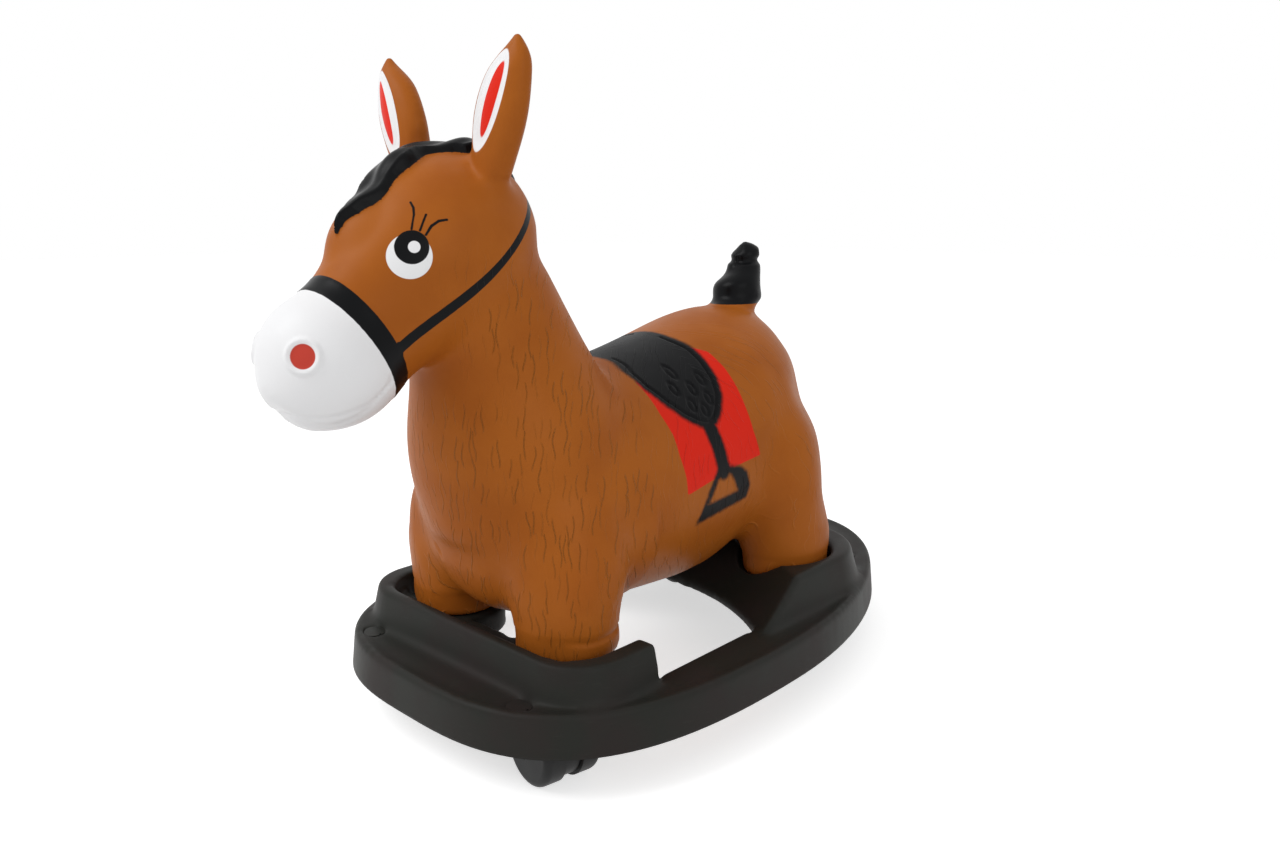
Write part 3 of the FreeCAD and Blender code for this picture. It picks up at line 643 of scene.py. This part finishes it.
class Shader:
    """Short hand for laying out a node tree."""

    def __init__(self, tree):
        self.tree = tree

    def node(self, kind, links=None, **values):
        """A node with its settings and inputs; a link is a socket, a value is plain."""
        made = self.tree.nodes.new(kind)
        for name, value in values.items():
            setattr(made, name, value)
        for socket, value in (links or {}).items():
            if isinstance(value, bpy.types.NodeSocket):
                self.tree.links.new(value, made.inputs[socket])
            else:
                made.inputs[socket].default_value = value
        return made

    def maths(self, operation, first, second=0.0):
        """Result of one Math node."""
        return self.node("ShaderNodeMath", {0: first, 1: second}, operation=operation).outputs[0]

    def add(self, first, second):
        """Sum of two values."""
        return self.maths("ADD", first, second)

    def times(self, first, second):
        """Product of two values."""
        return self.maths("MULTIPLY", first, second)

    def size(self, value):
        """A value without its sign."""
        return self.maths("ABSOLUTE", value)

    def stretched(self, vector, scale):
        """A place scaled along each axis."""
        made = self.node("ShaderNodeVectorMath", {0: vector, 1: scale}, operation="MULTIPLY")
        return made.outputs[0]

    def group(self, tree, place):
        """The outputs of an effect laid at a place."""
        made = self.node("ShaderNodeGroup", {"Place": place}, node_tree=tree)
        return made.outputs

    def bump(self, shader, height, distance):
        """Raise a shader's surface by a height, in shares of a distance."""
        made = self.node("ShaderNodeBump", {"Height": height, "Distance": distance, "Strength": 1.0})
        self.tree.links.new(made.outputs[0], shader.inputs["Normal"])

    def mix(self, share, first, second):
        """Blend of two colours."""
        made = self.node("ShaderNodeMix", {0: share, 6: first, 7: second}, data_type="RGBA")
        return made.outputs[2]

    def span(self, value, low, high, start=0.0, end=1.0):
        """A value's range mapped smoothly to another."""
        made = self.node(
            "ShaderNodeMapRange", {0: value, 1: low, 2: high, 3: start, 4: end},
            interpolation_type="SMOOTHSTEP")
        return made.outputs[0]

    def noise(self, vector, scale, detail):
        """Noise value at a place."""
        made = self.node("ShaderNodeTexNoise", {"Vector": vector, "Scale": scale, "Detail": detail})
        return made.outputs["Fac"]


def rgba(value):
    """A colour with full alpha."""
    return (*value, 1.0)


def effect(name, inputs, outputs):
    """A new shader group with named sockets, as its shorthand, entry and exit."""
    tree = bpy.data.node_groups.new(name, "ShaderNodeTree")
    for label, kind, default in inputs:
        socket = tree.interface.new_socket(name=label, in_out="INPUT", socket_type=kind)
        if default is not None:
            socket.default_value = default
    for label, kind in outputs:
        tree.interface.new_socket(name=label, in_out="OUTPUT", socket_type=kind)
    entry, leave = tree.nodes.new("NodeGroupInput"), tree.nodes.new("NodeGroupOutput")
    return tree, Shader(tree), entry.outputs, leave.inputs


def hair_lines():
    """Short wavy upright lines moulded in the vinyl."""
    if "Hair lines" in bpy.data.node_groups:
        return bpy.data.node_groups["Hair lines"]
    tree, lay, given, put = effect(
        "Hair lines",
        [("Place", "NodeSocketVector", None), ("Across", "NodeSocketFloat", 105.0),
         ("Up", "NodeSocketFloat", 32.0)],
        [("Lines", "NodeSocketFloat")])
    split = lay.node("ShaderNodeSeparateXYZ", {0: given["Place"]}).outputs
    # Distance round the body: Y, with the distance off the middle added in front and taken off behind.
    way = lay.maths("SUBTRACT", 1.0, lay.times(lay.maths("GREATER_THAN", split["Y"], 0.01), 2.0))
    round_body = lay.add(split["Y"], lay.times(lay.size(split["X"]), way))
    bend = lay.times(lay.noise(given["Place"], 22.0, 1.0), 0.010)
    across = lay.times(lay.add(round_body, bend), given["Across"])
    # The right side takes other lines than the left.
    other_side = lay.times(lay.maths("LESS_THAN", split["X"], 0.0), 3.17)
    up = lay.times(split["Z"], given["Up"])
    place = lay.node("ShaderNodeCombineXYZ", {0: lay.add(across, other_side), 1: up}).outputs[0]
    # One line to a cell, each bent, long and strong in its own way.
    cells = lay.node(
        "ShaderNodeTexVoronoi", {"Vector": place, "Scale": 1.0, "Randomness": 0.9},
        voronoi_dimensions="2D").outputs
    offset = lay.node("ShaderNodeVectorMath", {0: place, 1: cells["Position"]}, operation="SUBTRACT")
    near = lay.node("ShaderNodeSeparateXYZ", {0: offset.outputs[0]}).outputs
    pick = lay.node("ShaderNodeSeparateColor", {0: cells["Color"]}).outputs
    turn = lay.add(lay.times(near["Y"], 7.0), lay.times(pick[0], 6.28))
    wave = lay.times(lay.maths("SINE", turn), 0.15)
    thin = lay.span(lay.size(lay.add(near["X"], wave)), 0.01, 0.095, 1.0, 0.0)
    reach = lay.add(0.32, lay.times(pick[1], 0.28))
    ends = lay.span(lay.maths("DIVIDE", lay.size(near["Y"]), reach), 0.55, 1.0, 1.0, 0.0)
    strength = lay.span(pick[2], 0.15, 0.7, 0.25, 1.0)
    lay.tree.links.new(lay.times(lay.times(thin, ends), strength), put["Lines"])
    return tree


def moulded_grain():
    """Fine grain and soft blotches of a moulded surface."""
    if "Moulded grain" in bpy.data.node_groups:
        return bpy.data.node_groups["Moulded grain"]
    tree, lay, given, put = effect(
        "Moulded grain",
        [("Place", "NodeSocketVector", None), ("Grain scale", "NodeSocketFloat", 1400.0),
         ("Blotch scale", "NodeSocketFloat", 14.0)],
        [("Grain", "NodeSocketFloat"), ("Blotches", "NodeSocketFloat"), ("Scuffs", "NodeSocketFloat")])
    grain = lay.noise(given["Place"], given["Grain scale"], 3.0)
    blotches = lay.noise(given["Place"], given["Blotch scale"], 4.0)
    flat = lay.stretched(given["Place"], (55.0, 55.0, 420.0))
    scuffs = lay.span(lay.noise(flat, 1.0, 5.0), 0.60, 0.72)
    lay.tree.links.new(grain, put["Grain"])
    lay.tree.links.new(lay.span(blotches, 0.35, 0.68), put["Blotches"])
    lay.tree.links.new(scuffs, put["Scuffs"])
    return tree


def new_material(name):
    """An empty material as its shorthand, shader and place."""
    material = bpy.data.materials.new(name)
    material.use_nodes = True
    tree = material.node_tree
    shader = tree.nodes["Principled BSDF"]
    lay = Shader(tree)
    place = lay.node("ShaderNodeTexCoord").outputs["Object"]
    return material, lay, shader, place


def attribute(lay, name):
    """A number stored on the mesh."""
    return lay.node("ShaderNodeAttribute", attribute_name=name).outputs["Fac"]


def uneven(lay, grain, amount):
    """How much rougher or smoother the blotches are."""
    return lay.times(lay.maths("SUBTRACT", grain["Blotches"], 0.5), amount)


def horse_vinyl(settings):
    """Satin brown vinyl with moulded hair, its lines tinted paler as a painted highlight, and painted mane,
    tack, eyes and muzzle.
    """
    material, lay, shader, place = new_material("Horse vinyl")
    grain = lay.group(moulded_grain(), place)
    lines = lay.times(lay.group(hair_lines(), place)["Lines"], attribute(lay, "fur"))
    ragged = lay.times(lay.maths("SUBTRACT", lay.noise(place, 190.0, 3.0), 0.5), 0.004)

    def covered(name, soft, rough=0.0):
        """1 inside a painted shape, with a soft and, if wanted, ragged edge."""
        gap = attribute(lay, name)
        if rough:
            gap = lay.add(gap, lay.times(ragged, rough))
        return lay.span(gap, -soft, soft, 1.0, 0.0)

    blanket = covered("blanket", 0.0009)
    saddle = covered("saddle", 0.0030, 0.7)
    white = covered("white_paint", 0.0003)
    black = covered("black_paint", 0.00035, 0.12)
    red = covered("red_paint", 0.0003)
    nostril = covered("nostril", 0.0004)
    glint = covered("glint", 0.0003)

    tone = lay.mix(grain["Blotches"], rgba(settings.coat), rgba(settings.coat_shade))
    # Painted highlight: the hair lines are tinted paler brown, as light catching their ridges would show.
    tone = lay.mix(lay.times(lines, 0.42), tone, rgba(settings.hair_highlight_paint))
    coats = (
        (blanket, settings.red), (saddle, settings.black), (white, settings.white), (black, settings.black),
        (red, settings.red), (nostril, settings.nostril), (glint, settings.white))
    for cover, colour_of_paint in coats:
        tone = lay.mix(cover, tone, rgba(colour_of_paint))
    lay.tree.links.new(tone, shader.inputs["Base Color"])

    gloss = lay.span(lay.maths("MAXIMUM", black, white), 0.0, 1.0, 0.44, 0.33)
    lay.tree.links.new(lay.add(gloss, uneven(lay, grain, 0.08)), shader.inputs["Roughness"])
    lay.bump(shader, lay.add(lines, lay.times(grain["Grain"], 0.03)), settings.hair_depth)
    shader.inputs["Specular IOR Level"].default_value = 0.09
    return material


def plastic(name, tone, tint, roughness, settings):
    """Moulded plastic with fine grain, soft blotches and faint scuffs."""
    material, lay, shader, place = new_material(name)
    grain = lay.group(moulded_grain(), place)
    base = lay.mix(grain["Blotches"], rgba(tone), rgba(tint))
    worn = rgba([min(1.0, value * 2.2) for value in tone])
    scuffed = lay.mix(lay.times(grain["Scuffs"], 0.12), base, worn)
    lay.tree.links.new(scuffed, shader.inputs["Base Color"])
    lay.tree.links.new(lay.add(roughness, uneven(lay, grain, 0.10)), shader.inputs["Roughness"])
    lay.bump(shader, grain["Grain"], settings.grain_depth)
    shader.inputs["Specular IOR Level"].default_value = 0.12
    return material


def ring_plastic(settings):
    """Semi-matt near-black olive plastic of the ring."""
    return plastic("Ring plastic", settings.plastic, settings.plastic_tint, 0.50, settings)


def plated_steel(settings):
    """Zinc-plated steel with fine turning lines."""
    material, lay, shader, place = new_material("Plated steel")
    turned = lay.noise(lay.stretched(place, (300.0, 300.0, 3000.0)), 1.0, 3.0)
    dull = lay.span(lay.noise(place, 120.0, 3.0), 0.35, 0.7)
    darker = rgba([value * 0.72 for value in settings.steel])
    lay.tree.links.new(lay.mix(dull, rgba(settings.steel), darker), shader.inputs["Base Color"])
    lay.tree.links.new(lay.span(turned, 0.3, 0.7, 0.28, 0.45), shader.inputs["Roughness"])
    lay.bump(shader, turned, 0.03 * MM)
    shader.inputs["Metallic"].default_value = 1.0
    return material


def dress(node, material):
    """Give a CAD node its finish."""
    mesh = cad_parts[node].data
    mesh.materials.clear()
    mesh.materials.append(material)


# ----------------------------------------------------------------------- operators

class HORSE_OT_skin(bpy.types.Operator):
    """Build the soft horse with its relief and paint"""
    bl_idname = "horse.skin"
    bl_label = "Horse"

    def execute(self, context):
        build_horse(context.scene.horse_settings)
        return {"FINISHED"}


class HORSE_OT_tray(bpy.types.Operator):
    """Build the moulded ring base"""
    bl_idname = "horse.tray"
    bl_label = "Ring base"

    def execute(self, context):
        build_tray(context.scene.base_settings)
        return {"FINISHED"}


class HORSE_OT_casters(bpy.types.Operator):
    """Finish the wheels, hoods, stems, axles and sleeves of the casters"""
    bl_idname = "horse.casters"
    bl_label = "Casters"

    def execute(self, context):
        settings = context.scene.base_settings
        wheel_tint = [value * 0.8 for value in settings.wheel]
        sleeve_tint = [value * 0.9 for value in settings.sleeve]
        wheel = plastic("Wheel plastic", settings.wheel, wheel_tint, 0.42, settings)
        trim = plastic("Caster plastic", settings.trim, settings.plastic, 0.46, settings)
        sleeve = plastic("Sleeve plastic", settings.sleeve, sleeve_tint, 0.5, settings)
        steel = plated_steel(settings)
        finishes = {
            "stem": steel, "grip_ring": steel, "axle": steel, "sleeve": sleeve, "hood": wheel,
            "cap_a": trim, "cap_b": trim, "wheel_a": wheel, "wheel_b": wheel}
        for corner in CORNERS:
            for part, finish in finishes.items():
                dress(f"caster_{corner}_{part}", finish)
        return {"FINISHED"}


class HORSE_OT_small_parts(bpy.types.Operator):
    """Finish the cover discs and the air plug"""
    bl_idname = "horse.small_parts"
    bl_label = "Small parts"

    def execute(self, context):
        base, horse = context.scene.base_settings, context.scene.horse_settings
        disc = plastic("Disc plastic", base.plastic, base.plastic_tint, 0.48, base)
        for corner in CORNERS:
            dress(f"cover_disc_{corner}", disc)
        plug = plastic("Plug plastic", horse.coat, horse.coat_shade, 0.5, base)
        dress("valve_plug", plug)
        return {"FINISHED"}


class HORSE_OT_stage(bpy.types.Operator):
    """Build the floor, the lamps, the surroundings and the camera"""
    bl_idname = "horse.stage"
    bl_label = "Stage"

    def execute(self, context):
        settings = context.scene.stage_settings
        build_floor(settings)
        build_world(context.scene, settings)
        add_lamp("key", settings.key, Vector((-0.9, -1.9, 2.3)))
        add_lamp("fill", settings.fill, Vector((2.3, -0.9, 1.3)))
        build_camera(context.scene)
        context.scene.view_settings.view_transform = "Standard"
        return {"FINISHED"}


# --------------------------------------------------------------------------- stage

LAMP_SIZE, LAMP_TARGET = 1.6, Vector((0.0, 0.0, 0.3))
CAMERA_PLACE = (0.727, -0.769, 0.500)
CAMERA_TURN, CAMERA_TIP = math.radians(43.0), math.radians(12.2)


def seen_directly(lay):
    """1 for rays that reach the eye straight or off metal and glass."""
    path = lay.node("ShaderNodeLightPath").outputs
    mirrored = lay.maths("MAXIMUM", path["Is Glossy Ray"], path["Is Transmission Ray"])
    return lay.maths("MAXIMUM", path["Is Camera Ray"], mirrored)


def build_floor(settings):
    """Plain pale floor that reads white and keeps the object's shadow."""
    bm = bmesh.new()
    bmesh.ops.create_grid(bm, x_segments=1, y_segments=1, size=12.0)
    floor = bpy.data.objects.new("floor", finished(bm, "floor"))
    bpy.context.scene.collection.objects.link(floor)
    material, lay, shader, _ = new_material("Floor")
    shader.inputs["Base Color"].default_value = rgba(settings.floor)
    shader.inputs["Roughness"].default_value = 1.0
    shader.inputs["Specular IOR Level"].default_value = 0.0
    shader.inputs["Emission Color"].default_value = (1.0, 1.0, 1.0, 1.0)
    glow = lay.times(seen_directly(lay), settings.floor_glow)
    lay.tree.links.new(glow, shader.inputs["Emission Strength"])
    floor.data.materials.append(material)


def build_world(scene, settings):
    """Plain surroundings, white where they are seen."""
    world = bpy.data.worlds.new("Surroundings")
    world.use_nodes = True
    scene.world = world
    lay = Shader(world.node_tree)
    background = world.node_tree.nodes["Background"]
    background.inputs["Color"].default_value = (1.0, 1.0, 1.0, 1.0)
    strength = lay.span(seen_directly(lay), 0.0, 1.0, settings.sky, 1.0)
    lay.tree.links.new(strength, background.inputs["Strength"])


def add_lamp(name, power, place):
    """Soft square lamp aimed at the middle of the object."""
    data = bpy.data.lights.new(name, "AREA")
    data.energy, data.size = power, LAMP_SIZE
    lamp = bpy.data.objects.new(name, data)
    lamp.location = place
    lamp.rotation_euler = (LAMP_TARGET - place).to_track_quat("-Z", "Y").to_euler()
    bpy.context.scene.collection.objects.link(lamp)


def build_camera(scene):
    """Camera level with the horse's head, off its front left side."""
    data = bpy.data.cameras.new("camera")
    data.lens, data.sensor_width = 27.56, 36.0
    camera = bpy.data.objects.new("camera", data)
    level = math.cos(CAMERA_TIP)
    back = Vector((math.sin(CAMERA_TURN) * level, -math.cos(CAMERA_TURN) * level, math.sin(CAMERA_TIP)))
    camera.location = CAMERA_PLACE
    camera.rotation_euler = back.to_track_quat("Z", "Y").to_euler()
    scene.collection.objects.link(camera)
    scene.camera = camera


class HORSE_PT_panel(bpy.types.Panel):
    """Builds the pieces and shows their settings"""
    bl_label = "Hopping horse"
    bl_idname = "HORSE_PT_panel"
    bl_space_type = "VIEW_3D"
    bl_region_type = "UI"
    bl_category = "Horse"

    def draw(self, context):
        for operator in OPERATORS:
            self.layout.operator(operator.bl_idname)
        for settings in SETTINGS:
            group = getattr(context.scene, settings)
            box = self.layout.box()
            for name in group.__annotations__:
                box.prop(group, name)


SETTINGS = {"horse_settings": HorseSettings, "base_settings": BaseSettings, "stage_settings": StageSettings}
OPERATORS = (HORSE_OT_skin, HORSE_OT_tray, HORSE_OT_casters, HORSE_OT_small_parts, HORSE_OT_stage)


def register():
    for group in (*SETTINGS.values(), *OPERATORS, HORSE_PT_panel):
        bpy.utils.register_class(group)
    for name, group in SETTINGS.items():
        setattr(bpy.types.Scene, name, bpy.props.PointerProperty(type=group))


def unregister():
    for name in SETTINGS:
        delattr(bpy.types.Scene, name)
    for group in reversed((*SETTINGS.values(), *OPERATORS, HORSE_PT_panel)):
        bpy.utils.unregister_class(group)


def main():
    register()
    bpy.ops.horse.skin()
    bpy.ops.horse.tray()
    bpy.ops.horse.casters()
    bpy.ops.horse.small_parts()
    bpy.ops.horse.stage()


if __name__ == "__main__":
    main()
